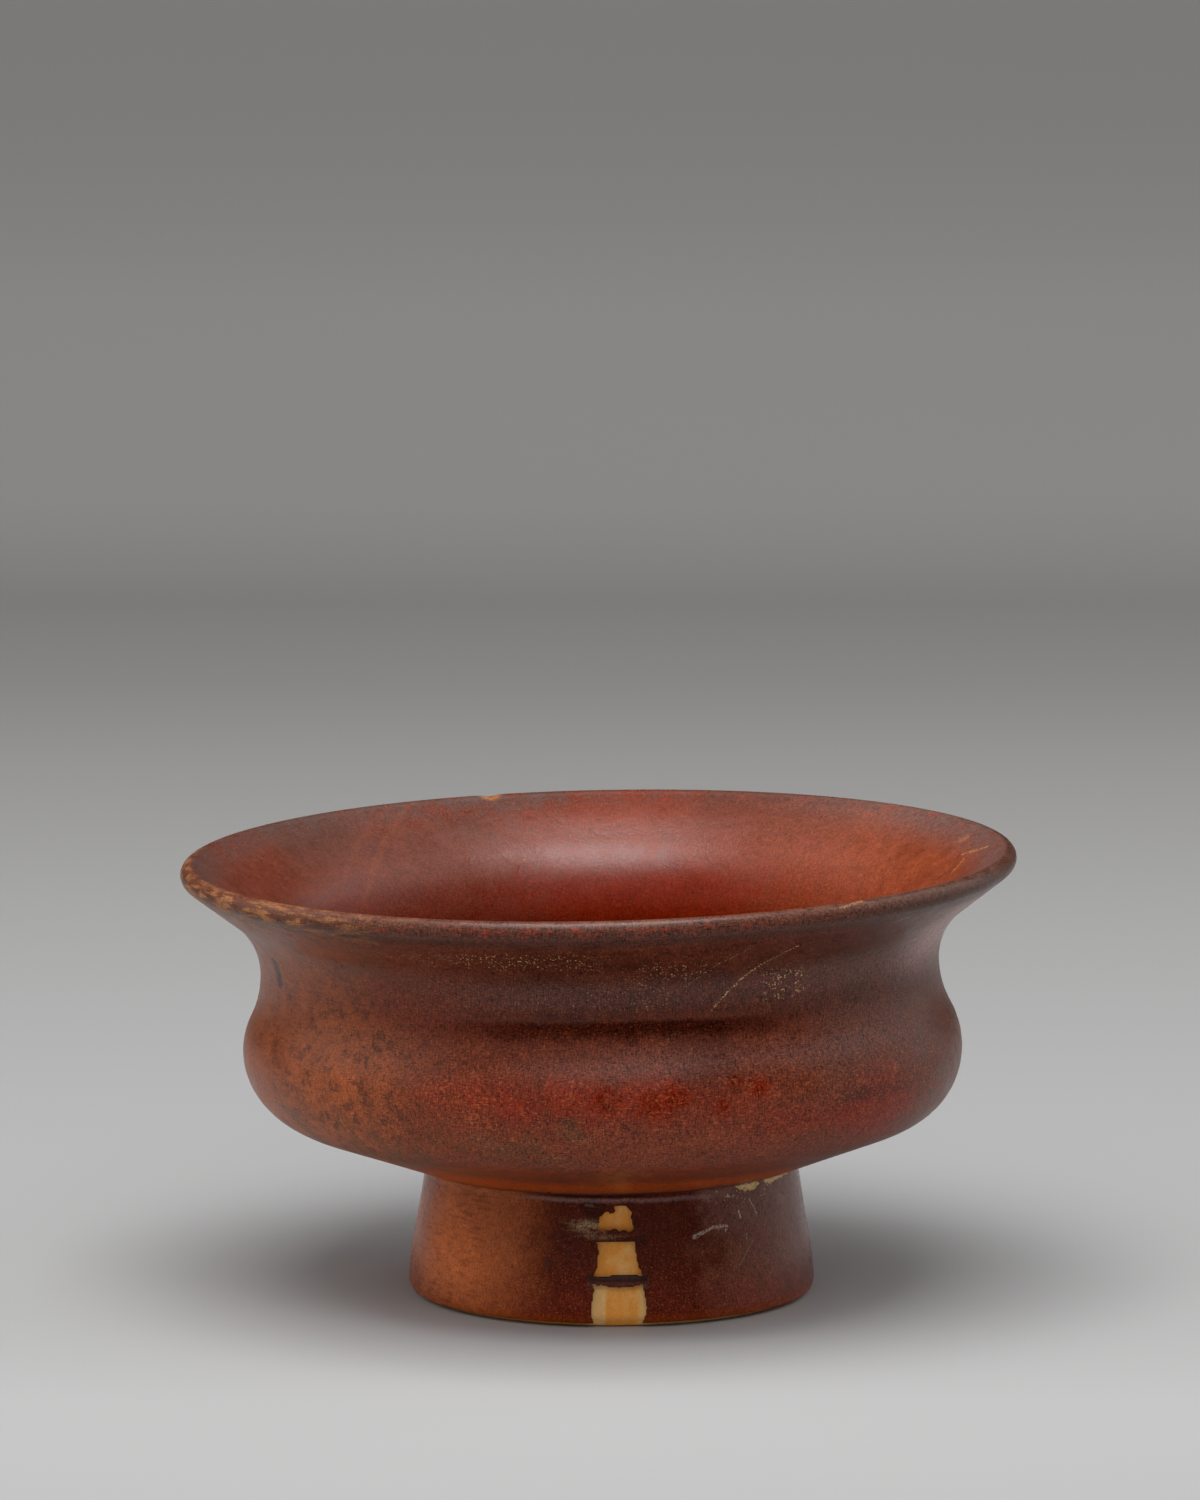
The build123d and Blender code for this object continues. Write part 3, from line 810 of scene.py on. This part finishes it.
class BowlForm:
    """Centres, radii and turns of the bowl's outline, above its seat."""

    def __init__(self, sizes):
        self.sizes = sizes
        rim_radius = sizes.rim_diameter / 2
        self.flare = sizes.flare_angle
        self.neck_level = sizes.belly_rise + sizes.neck_rise
        self.top_level = self.neck_level + sizes.lip_rise
        neck_radius = rim_radius - sizes.neck_inset
        belly_radius = neck_radius + sizes.belly_swell
        self.lip_centre = (rim_radius - sizes.lip_round, self.top_level - sizes.lip_round)
        self.flare_centre = self.neck_to_lip(neck_radius, -self.flare)
        self.waist_turn, waist_sum = self.ogee(sizes.belly_swell, sizes.neck_rise)
        self.waist_centre = (neck_radius + waist_sum - sizes.belly_round, self.neck_level)
        self.belly_centre = (belly_radius - sizes.belly_round, sizes.belly_rise)
        reach = self.belly_centre[0] - sizes.seat_radius
        self.under_slope = atan2(sizes.belly_rise, reach) - asin(
            sizes.belly_round / hypot(reach, sizes.belly_rise)
        )
        throat_radius = neck_radius - sizes.neck_wall
        chamber_radius = belly_radius - sizes.belly_wall
        self.throat_centre = self.neck_to_lip(throat_radius, pi - self.flare)
        self.throat_bend = self.throat_centre[0] - throat_radius
        self.dish_centre = (0, sizes.floor_rise + sizes.floor_dish)
        corner_reach = chamber_radius - sizes.floor_corner
        drop = sqrt((sizes.floor_dish - sizes.floor_corner) ** 2 - corner_reach**2)
        chamber_level = self.dish_centre[1] - drop
        self.corner_centre = (corner_reach, chamber_level)
        self.corner_end = atan2(-drop, corner_reach)
        self.chamber_turn, chamber_sum = self.ogee(
            chamber_radius - throat_radius, self.neck_level - chamber_level
        )
        self.chamber_centre = (chamber_radius - chamber_sum / 2, chamber_level)
        self.lower_throat_centre = (throat_radius + chamber_sum / 2, self.neck_level)

    def neck_to_lip(self, radius, lip_side):
        """Centre of the arc that leaves the neck upright and runs into the flared line to the lip."""
        touch = polar(self.lip_centre, self.sizes.lip_round, lip_side)
        corner_level = touch[1] - (touch[0] - radius) / tan(self.flare)
        bend = (corner_level - self.neck_level) / tan(self.flare / 2)
        return radius + bend, self.neck_level

    def ogee(self, swell, rise):
        """Turn of two equal arcs that swell over a rise, and the sum of their radii."""
        angle = 2 * atan(swell / rise)
        return angle, rise / sin(angle)

    def seat_edge(self, depth):
        return self.sizes.seat_radius - depth / sin(self.under_slope), 0

    def draw(self, mesh, depth, spacing):
        """Outline of the wall from the seat over the lip to the floor's middle, sunk in by a depth."""
        lip_round = self.sizes.lip_round - depth
        belly_round = self.sizes.belly_round - depth
        line = Outline(mesh, self.seat_edge(depth))
        line.line(polar(self.belly_centre, belly_round, self.under_slope - pi / 2), spacing)
        line.arc(self.belly_centre, self.waist_turn + pi / 2 - self.under_slope, spacing)
        line.arc(self.waist_centre, -self.waist_turn, spacing)
        line.arc(self.flare_centre, -self.flare, spacing)
        line.line(polar(self.lip_centre, lip_round, -self.flare), spacing)
        line.arc(self.lip_centre, pi / 2 + self.flare, spacing / 3)
        top = len(line.chain) - 1
        line.arc(self.lip_centre, pi / 2 - self.flare, spacing / 3)
        line.line(polar(self.throat_centre, self.throat_bend - depth, pi - self.flare), spacing)
        line.arc(self.throat_centre, self.flare, spacing)
        line.arc(self.lower_throat_centre, self.chamber_turn, spacing)
        line.arc(self.chamber_centre, -self.chamber_turn, spacing)
        line.arc(self.corner_centre, self.corner_end, spacing)
        line.arc(self.dish_centre, -pi / 2 - self.corner_end, spacing * 2)
        line.tip.co.x = 0
        mark_run(mesh, line.chain, top)
        return line

    def dome(self, mesh, depth, spacing):
        """Outline of the underside, from the seat's edge to the top of the hollow under the floor."""
        radius, rise = self.sizes.dome_radius, self.sizes.dome_rise
        ball = (radius**2 + rise**2) / (2 * rise)
        line = Outline(mesh, self.seat_edge(depth))
        line.line((radius, 0), spacing)
        line.arc((0, rise - ball), asin(radius / ball), spacing)
        line.tip.co.x = 0


def mark_run(mesh, chain, top):
    """Keeps on each vertex its way along the outline from the lip's top: plus outside, minus inside."""
    layer = mesh.verts.layers.float.get("run")
    ways = [0.0]
    for before, after in zip(chain, chain[1:]):
        ways.append(ways[-1] + (after.co - before.co).length)
    for vertex, way in zip(chain, ways):
        vertex[layer] = ways[top] - way


class FootForm:
    """Outlines of the foot's clay and of its coat."""

    fillet_turn = radians(-72)

    def __init__(self, sizes, coat_thickness):
        self.sizes = sizes
        self.coat = coat_thickness
        self.heel_centre = (sizes.foot_radius - coat_thickness - sizes.heel_round, sizes.heel_round)
        self.heel_bend = sizes.heel_round + coat_thickness
        top = (sizes.foot_radius - sizes.foot_taper, sizes.joint_height)
        run = (top[0] - self.heel_centre[0], top[1] - self.heel_centre[1])
        self.slope = atan2(run[1], run[0]) - acos(self.heel_bend / hypot(*run))

    def side(self, depth, height):
        """Point on the side at a height, sunk in by a depth."""
        start = polar(self.heel_centre, self.heel_bend - depth, self.slope)
        return start[0] - (height - start[1]) * tan(self.slope), height

    def draw_clay(self, mesh, spacing):
        """Closed outline of the foot's clay."""
        sizes = self.sizes
        start = self.side(self.coat, sizes.clay_height)
        inner = (self.heel_centre[0] - sizes.standing_width, sizes.inner_heel_round)
        bore_top = (start[0] - sizes.foot_wall, sizes.clay_height)
        line = Outline(mesh, start)
        line.line(polar(self.heel_centre, sizes.heel_round, self.slope), spacing)
        line.arc(self.heel_centre, -pi / 2 - self.slope, spacing / 2)
        line.line((inner[0], 0), spacing)
        line.arc(inner, -pi / 2, spacing / 2)
        line.line(bore_top, spacing)
        line.line((start[0] - sizes.foot_wall / 8, sizes.clay_height), spacing)
        line.close()

    def draw_coat(self, mesh, spacing):
        """Open outline of the coat's outer face, from its hem to the fillet under the bowl."""
        sizes = self.sizes
        hem_angle = asin((sizes.coat_hem - self.heel_centre[1]) / self.heel_bend)
        line = Outline(mesh, polar(self.heel_centre, self.heel_bend, hem_angle))
        line.arc(self.heel_centre, self.slope - hem_angle, spacing)
        foot_of_fillet = self.side(0, sizes.joint_height - sizes.fillet)
        line.line(foot_of_fillet, spacing)
        centre = polar(foot_of_fillet, sizes.fillet, self.slope)
        line.arc(centre, self.fillet_turn, spacing)
        return line


# Hand work on the finished turnings

def smooth_step(value):
    value = min(max(value, 0.0), 1.0)
    return value * value * (3 - 2 * value)


def outward(point):
    """Level direction from the upright axis to a point."""
    return Vector((point.x, point.y, 0)).normalized()


class Hand:
    """Moves points of the true turned forms to where the hand left them."""

    # Slow waves: how many round and up, where they start, and how far they bend the turning rings
    wave_round, wave_up, wave_start, ring_bend = 1.4, 26, 3.0, 4

    # Ways below the lip's top between which the inside of the flare is fuller
    roll_reach = (1 * MM, 19 * MM)

    # Height above the seat, and radius on the floor, over which the waves fade in
    seat_fade, floor_fade = 4 * MM, 20 * MM

    # How far the chip reaches over the lip, its spread there, and the spread of the foot's fullness
    chip_reach, chip_spread, swell_spread = 4 * MM, 1.5 * MM, 5 * MM

    def __init__(self, settings):
        self.work = settings.hand
        self.foot = settings.foot
        self.height = BowlForm(settings.bowl).top_level
        self.flare = settings.bowl.flare_angle

    def sink(self, direction, way):
        """Slow unevenness and turning rings, as a depth into the wall."""
        across, up = self.wave_round, way * self.wave_up + self.wave_start
        slow = noise.noise(Vector((direction.x * across, direction.y * across, up)))
        rings = sin(2 * pi * way / self.work.ring_pitch + self.ring_bend * slow)
        return self.work.unevenness * (0.5 + 0.5 * slow) + self.work.ring_depth * (0.5 + 0.5 * rings)

    def roll(self, direction, depth):
        """Slight fullness of the inside of the flare, at a depth along the wall below the lip's top."""
        start, end = self.roll_reach
        if not start < depth < end:
            return Vector()
        normal = Vector((0, 0, sin(self.flare))) - direction * cos(self.flare)
        return normal * (self.work.flare_roll * sin(pi * (depth - start) / (end - start)))

    def lean(self, point):
        """Lean that grows with height above the seat, and a sideways drift."""
        share = point.z / self.height
        tilt = self.work.seat_tilt + (self.work.rim_tilt - self.work.seat_tilt) * smooth_step(
            point.z / self.work.tilt_rise
        )
        middle = self.work.seat_shift + self.work.drift * share + self.work.drift_return * share**2
        return Vector((
            middle + point.x * cos(tilt),
            point.y,
            self.foot.joint_height + point.z + point.x * sin(tilt),
        ))

    def seat(self, x):
        """Height of the leaning seat at a sideways place."""
        return self.foot.joint_height + (x - self.work.seat_shift) * tan(self.work.seat_tilt)

    def shape_bowl(self, mesh):
        """Turns an upright bowl mesh into the hand-worked one, with a chip out of the back of its lip."""
        layer = mesh.verts.layers.float.get("run")
        for vertex in mesh.verts:
            radius = hypot(vertex.co.x, vertex.co.y)
            if radius > MM and vertex[layer] != 0.0:
                direction = Vector((vertex.co.x, vertex.co.y, 0)) / radius
                inward = self.sink(direction, vertex[layer]) * smooth_step(vertex.co.z / self.seat_fade)
                outer = -1 if vertex[layer] > 0 else 1
                vertex.co += direction * (outer * inward * smooth_step(radius / self.floor_fade))
                vertex.co += self.roll(direction, -vertex[layer])
            vertex.co = self.lean(vertex.co)
            if abs(vertex[layer]) < self.chip_reach:
                side = degrees(atan2(vertex.co.x, -vertex.co.y))
                along = radians(side - CHIP_SIDE) * radius / self.work.chip_width
                across = vertex[layer] / self.chip_spread
                vertex.co.z -= self.work.chip_depth * exp(-4 * along**2 - across**2)

    def shape_foot(self, mesh, follow_seat):
        """Slight fullness of the foot's side, and its top drawn up to the leaning seat."""
        sizes = self.foot
        for vertex in mesh.verts:
            radius = hypot(vertex.co.x, vertex.co.y)
            direction = Vector((vertex.co.x, vertex.co.y, 0)) / radius
            if radius > sizes.foot_radius - sizes.foot_wall:
                away = (vertex.co.z - sizes.swell_height) / self.swell_spread
                vertex.co += direction * (sizes.swell * exp(-away * away))
            if follow_seat:
                share = smooth_step(vertex.co.z / sizes.joint_height)
                vertex.co.z += (self.seat(vertex.co.x) - sizes.joint_height) * share


# Places on the foot's front where the coat flaked off, as outlines sideways and up, in millimetres
FLAKES = (
    ((-2.1, 12.7), (3.3, 12.7), (3.5, 11.2), (3.8, 9.6), (4.5, 7.7), (3.7, 7.9), (1.6, 8.0),
     (-0.2, 7.8), (-1.9, 7.7), (-2.8, 7.6), (-2.3, 8.5), (-2.0, 9.6), (-1.9, 11.0), (-1.9, 12.0)),
    ((-2.9, 6.6), (-1.3, 6.5), (-0.5, 6.3), (1.6, 6.1), (2.9, 6.3), (4.5, 6.6), (4.6, 5.8), (4.8, 4.5),
     (5.1, 3.2), (5.0, 2.1), (4.3, 0.5), (-2.5, 0.5), (-3.0, 1.9), (-3.0, 3.2), (-2.8, 4.6), (-2.5, 5.7)),
    ((-1.8, 16.3), (-1.1, 16.8), (-0.8, 17.2), (-0.2, 16.8), (0.3, 17.0), (0.5, 17.7), (0.8, 18.1),
     (2.1, 18.0), (2.7, 17.2), (2.9, 16.0), (3.3, 14.5), (2.1, 14.3), (-0.5, 14.6), (-1.8, 14.5)),
)

# Chips in the coat under the bowl, in the same way
CHIPS = (
    ((18.2, 19.9), (18.4, 19.2), (19.5, 18.6), (21.2, 18.5), (21.7, 19.0), (21.6, 20.2)),
    ((22.4, 20.6), (22.5, 19.3), (23.5, 18.9), (25.0, 19.3), (26.2, 19.4), (26.3, 20.8)),
)

# Sizes and shares of the waves in torn edges, and how far apart their two noises are read
TEARS = ((0.9, 1.0), (0.4, 0.5))
TEAR_SHIFT = Vector((0, 0, 31.7))

# How far edges are torn, in millimetres: the two lower flakes, the top flake and the chips
LOW_TEAR, TOP_TEAR, CHIP_TEAR = 0.12, 0.35, 0.3


def inside(x, z, outline):
    """Whether a point lies within a closed outline."""
    within = False
    for (x0, z0), (x1, z1) in zip(outline, outline[1:] + outline[:1]):
        if (z0 > z) != (z1 > z) and x < x0 + (z - z0) * (x1 - x0) / (z1 - z0):
            within = not within
    return within


def torn_out(point, outlines, tear):
    """Whether a point on the foot's front lies within one of some outlines, with their edges torn."""
    if point.y > 0:
        return False
    x, z = point.x / MM, point.z / MM
    for size, share in TEARS:
        place = point / (size * MM)
        x += noise.noise(place) * share * tear
        z += noise.noise(place + TEAR_SHIFT) * share * tear
    return any(inside(x, z, outline) for outline in outlines)


def flaked(point):
    """Whether the coat is missing at a point of the foot; the top flake has the most torn edge."""
    return torn_out(point, FLAKES[:2], LOW_TEAR) or torn_out(point, FLAKES[2:], TOP_TEAR)


# Pieces

# Spacing of points along the outlines, and steps of a full turn
CLAY_SPACING, CLAY_STEPS = 2.0 * MM, 200
COAT_SPACING, COAT_BACK_SPACING, COAT_STEPS = 0.95 * MM, 2.6 * MM, 400
FOOT_SPACING, FOOT_STEPS = 0.7 * MM, 300
FOOT_COAT_SPACING = 0.22 * MM

# Distance within which points are merged
MERGE_REACH = 0.002 * MM

# Share of a normal along the outward direction from which a place faces out
FACING_OUT = 0.5


def settings_of(context):
    return context.scene.red_gloss_bowl


def new_mesh():
    """Empty mesh that can keep the way along an outline on its vertices."""
    mesh = bmesh.new()
    mesh.verts.layers.float.new("run")
    return mesh


def turn_full(mesh, steps):
    """Spins all that is drawn once round the upright axis, and closes the seam and the poles."""
    geometry = list(mesh.verts) + list(mesh.edges)
    bmesh.ops.spin(
        mesh, geom=geometry, cent=(0, 0, 0), axis=(0, 0, 1), angle=2 * pi, steps=steps, use_merge=True
    )
    bmesh.ops.remove_doubles(mesh, verts=list(mesh.verts), dist=MERGE_REACH)
    bmesh.ops.recalc_face_normals(mesh, faces=list(mesh.faces))


def finish_piece(mesh, name, material, slot, *nodes):
    """Makes an object of a mesh, gives it its finish and sets it in the frame for its nodes."""
    data = bpy.data.meshes.new(name)
    mesh.to_mesh(data)
    mesh.free()
    for polygon in data.polygons:
        polygon.use_smooth = True
    data.materials.append(material)
    piece = bpy.data.objects.new(name, data)
    bpy.context.scene.collection.objects.link(piece)
    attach(piece, "root")
    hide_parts(*nodes)
    return piece


def shared_clay(settings):
    """The clay finish, made once for both clay pieces."""
    return bpy.data.materials.get("bare_clay") or bare_clay(settings.clay)


class BOWL_OT_body(bpy.types.Operator):
    """Model the bowl's clay wall and floor"""

    bl_idname = "red_bowl.body"
    bl_label = "Bowl body"

    def execute(self, context):
        settings = settings_of(context)
        form = BowlForm(settings.bowl)
        mesh = new_mesh()
        depth = settings.bowl.coat_thickness
        form.draw(mesh, depth, CLAY_SPACING)
        form.dome(mesh, depth, CLAY_SPACING)
        turn_full(mesh, CLAY_STEPS)
        Hand(settings).shape_bowl(mesh)
        finish_piece(mesh, "bowl_clay", shared_clay(settings), "clay", "bowl_body")
        return {"FINISHED"}


class BOWL_OT_coat(bpy.types.Operator):
    """Model the bowl's gloss coat, as a thin closed shell"""

    bl_idname = "red_bowl.coat"
    bl_label = "Bowl coat"

    def execute(self, context):
        settings = settings_of(context)
        form = BowlForm(settings.bowl)
        mesh = new_mesh()
        outer = form.draw(mesh, 0, COAT_SPACING)
        inner = form.draw(mesh, settings.bowl.coat_thickness, COAT_BACK_SPACING)
        mesh.edges.new((outer.chain[0], inner.chain[0]))
        turn_full(mesh, COAT_STEPS)
        Hand(settings).shape_bowl(mesh)
        finish_piece(mesh, "bowl_gloss_coat", bowl_gloss(settings.coat), "red_gloss", "bowl_slip_coat")
        return {"FINISHED"}


class BOWL_OT_foot(bpy.types.Operator):
    """Model the foot's clay ring, hollowed a little where the coat flaked off"""

    bl_idname = "red_bowl.foot"
    bl_label = "Foot body"

    def execute(self, context):
        settings = settings_of(context)
        mesh = new_mesh()
        FootForm(settings.foot, settings.bowl.coat_thickness).draw_clay(mesh, FOOT_SPACING)
        turn_full(mesh, FOOT_STEPS)
        Hand(settings).shape_foot(mesh, False)
        for vertex in mesh.verts:
            direction = outward(vertex.co)
            if vertex.normal.dot(direction) > FACING_OUT and flaked(vertex.co):
                vertex.co -= direction * settings.hand.flake_sink
        finish_piece(mesh, "foot_clay", shared_clay(settings), "clay", "foot_body")
        return {"FINISHED"}


class BOWL_OT_foot_coat(bpy.types.Operator):
    """Model the foot's gloss coat, with its flaked windows"""

    bl_idname = "red_bowl.foot_coat"
    bl_label = "Foot coat"

    # Turns about the upright axis, in degrees, with their steps: fine where the coat is flaked
    start = -102
    turns = ((28, 70), (20, 22), (38, 76), (274, 170))

    # Torn edges, which are smoothed, start this far above the hem and end this far under the joint
    above_hem, under_joint = 0.1 * MM, 0.5 * MM

    # Strips between the windows: sideways middle, half width and length of the fading ends
    strip_middle, strip_half, strip_fade = 0.8 * MM, 5 * MM, 2 * MM

    # Each strip's height and spread, in millimetres, and its share of the rise
    strips = ((7.0, 0.8, 1.0), (13.4, 0.9, 0.5))

    def execute(self, context):
        settings = settings_of(context)
        mesh = new_mesh()
        form = FootForm(settings.foot, settings.bowl.coat_thickness)
        line = form.draw_coat(mesh, FOOT_COAT_SPACING)
        bmesh.ops.rotate(
            mesh, cent=(0, 0, 0), matrix=Matrix.Rotation(radians(self.start), 3, "Z"), verts=line.chain
        )
        geometry = list(mesh.verts) + list(mesh.edges)
        for angle, steps in self.turns:
            geometry = bmesh.ops.spin(
                mesh, geom=geometry, cent=(0, 0, 0), axis=(0, 0, 1), angle=radians(angle), steps=steps
            )["geom_last"]
        bmesh.ops.remove_doubles(mesh, verts=list(mesh.verts), dist=MERGE_REACH)
        Hand(settings).shape_foot(mesh, True)
        self.raise_strips(mesh, settings.hand.flake_lip)
        gone = [face for face in mesh.faces if flaked(face.calc_center_median())]
        bmesh.ops.delete(mesh, geom=gone, context="FACES")
        layer = mesh.verts.layers.float.get("run")
        for vertex in mesh.verts:
            if torn_out(vertex.co, CHIPS, CHIP_TEAR):
                vertex[layer] = 1.0
                vertex.co -= outward(vertex.co) * settings.hand.chip_sink
        hem = settings.foot.coat_hem + self.above_hem
        top = settings.foot.joint_height - self.under_joint
        torn = [v for v in mesh.verts if v.is_boundary and hem < v.co.z < top]
        for _ in range(2):
            bmesh.ops.smooth_vert(
                mesh, verts=torn, factor=0.5, use_axis_x=True, use_axis_y=True, use_axis_z=True
            )
        bmesh.ops.recalc_face_normals(mesh, faces=list(mesh.faces))
        piece = finish_piece(
            mesh, "foot_gloss_coat", foot_gloss(settings.coat), "red_gloss", "foot_slip_coat"
        )
        wall = piece.modifiers.new("coat_wall", "SOLIDIFY")
        wall.thickness = settings.bowl.coat_thickness
        wall.offset = -1
        return {"FINISHED"}

    def raise_strips(self, mesh, rise):
        """Lifts the strips of coat that curl up between the flaked windows."""
        for vertex in mesh.verts:
            from_end = self.strip_half - abs(vertex.co.x - self.strip_middle)
            if vertex.co.y < 0 and from_end > 0:
                ends = smooth_step(from_end / self.strip_fade)
                lift = sum(
                    share * exp(-(((vertex.co.z / MM - height) / spread) ** 2))
                    for height, spread, share in self.strips
                )
                vertex.co += outward(vertex.co) * (rise * ends * lift)


class BOWL_OT_luting(bpy.types.Operator):
    """Give the luting slip between bowl and foot its finish"""

    bl_idname = "red_bowl.luting"
    bl_label = "Luting slip"

    def execute(self, context):
        settings = settings_of(context)
        material = luting_slip(settings.clay)
        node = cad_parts["luting_slip"]
        node.data.materials.clear()
        node.data.materials.append(material)
        return {"FINISHED"}


# Lamps: name, degrees round from the front, degrees up, distance, width, height and brightness
LAMPS = (
    ("top_softbox", -10, 76, 0.87, 0.58, 0.66, 6.4),
    ("front_high", 4, 42, 1.20, 1.10, 0.40, 2.3),
    ("front_low", 4, 18, 2.00, 4.20, 0.60, 0.65),
    ("left_low", -85, 18, 0.90, 1.20, 0.45, 0.95),
    ("left_high", -95, 42, 1.00, 1.20, 0.60, 0.85),
    ("right_low", 108, 14, 0.90, 1.00, 0.50, 0.85),
    ("right_high", 100, 42, 1.00, 1.20, 0.60, 1.0),
)
LAMP_AIM = Vector((0, 0, 0.04))

# Half the floor's width and the camera's far limit, in metres, and the sensor's width in millimetres
FLOOR_HALF = 6.0
FAR_LIMIT = 50.0
SENSOR_WIDTH = 36.0


def softbox(name, round_by, up_by, distance, width, height, brightness):
    """Rectangular lamp whose face has the given brightness."""
    data = bpy.data.lights.new(name, "AREA")
    data.shape = "RECTANGLE"
    data.size = width
    data.size_y = height
    data.energy = brightness * pi * width * height
    lamp = bpy.data.objects.new(name, data)
    flat = cos(radians(up_by))
    toward = Vector((sin(radians(round_by)) * flat, -cos(radians(round_by)) * flat, sin(radians(up_by))))
    lamp.location = LAMP_AIM + toward * distance
    lamp.rotation_euler = toward.to_track_quat("Z", "Y").to_euler()
    lamp.visible_camera = False
    bpy.context.scene.collection.objects.link(lamp)


def room_light(settings):
    """Room that is brighter overhead than at eye level."""
    world = bpy.data.worlds.new("room")
    world.use_nodes = True
    made = Nodes(world.node_tree)
    height = made.parts(made.node("ShaderNodeTexCoord", {}, {}, "Generated"))[2]
    sky = made.mix(height.rise(0.5, 1.0), settings.horizon, settings.zenith)
    light = made.node("ShaderNodeBackground", {}, {"Color": sky, "Strength": 1.0})
    made.node("ShaderNodeOutputWorld", {}, {"Surface": light})
    return world


class BOWL_OT_studio(bpy.types.Operator):
    """Set up the floor, the lamps and the camera"""

    bl_idname = "red_bowl.studio"
    bl_label = "Studio"

    def execute(self, context):
        scene = context.scene
        settings = settings_of(context).studio
        mesh = bmesh.new()
        bmesh.ops.create_grid(mesh, x_segments=4, y_segments=4, size=FLOOR_HALF)
        data = bpy.data.meshes.new("floor")
        mesh.to_mesh(data)
        mesh.free()
        data.materials.append(studio_floor())
        floor = bpy.data.objects.new("floor", data)
        scene.collection.objects.link(floor)

        scene.world = room_light(settings)
        for lamp in LAMPS:
            softbox(*lamp)

        camera = bpy.data.cameras.new("camera")
        camera.lens = settings.lens
        camera.sensor_width = SENSOR_WIDTH
        camera.clip_end = FAR_LIMIT
        holder = bpy.data.objects.new("camera", camera)
        holder.location = (settings.camera_side, -settings.camera_distance, settings.camera_height)
        holder.rotation_euler = (pi / 2 - settings.camera_pitch, 0, 0)
        scene.collection.objects.link(holder)
        scene.camera = holder
        scene.view_settings.view_transform = "Standard"
        return {"FINISHED"}


class BOWL_PT_panel(bpy.types.Panel):
    """List of the bowl's operators"""

    bl_idname = "BOWL_PT_panel"
    bl_label = "Red-gloss bowl"
    bl_space_type = "VIEW_3D"
    bl_region_type = "UI"
    bl_category = "Bowl"

    def draw(self, context):
        for operator in OPERATORS:
            self.layout.operator(operator.bl_idname)


GROUPS = (
    BowlSizes, HandWork, FootSizes, CoatColours, ClayColours, StudioSettings, BowlSettings,
)
OPERATORS = (
    BOWL_OT_body, BOWL_OT_coat, BOWL_OT_foot, BOWL_OT_foot_coat, BOWL_OT_luting, BOWL_OT_studio,
)


def register():
    for cls in (*GROUPS, *OPERATORS, BOWL_PT_panel):
        bpy.utils.register_class(cls)
    bpy.types.Scene.red_gloss_bowl = PointerProperty(type=BowlSettings)


def unregister():
    del bpy.types.Scene.red_gloss_bowl
    for cls in reversed((*GROUPS, *OPERATORS, BOWL_PT_panel)):
        bpy.utils.unregister_class(cls)


def main():
    register()
    bpy.ops.red_bowl.body()
    bpy.ops.red_bowl.coat()
    bpy.ops.red_bowl.foot()
    bpy.ops.red_bowl.foot_coat()
    bpy.ops.red_bowl.luting()
    bpy.ops.red_bowl.studio()


if __name__ == "__main__":
    main()
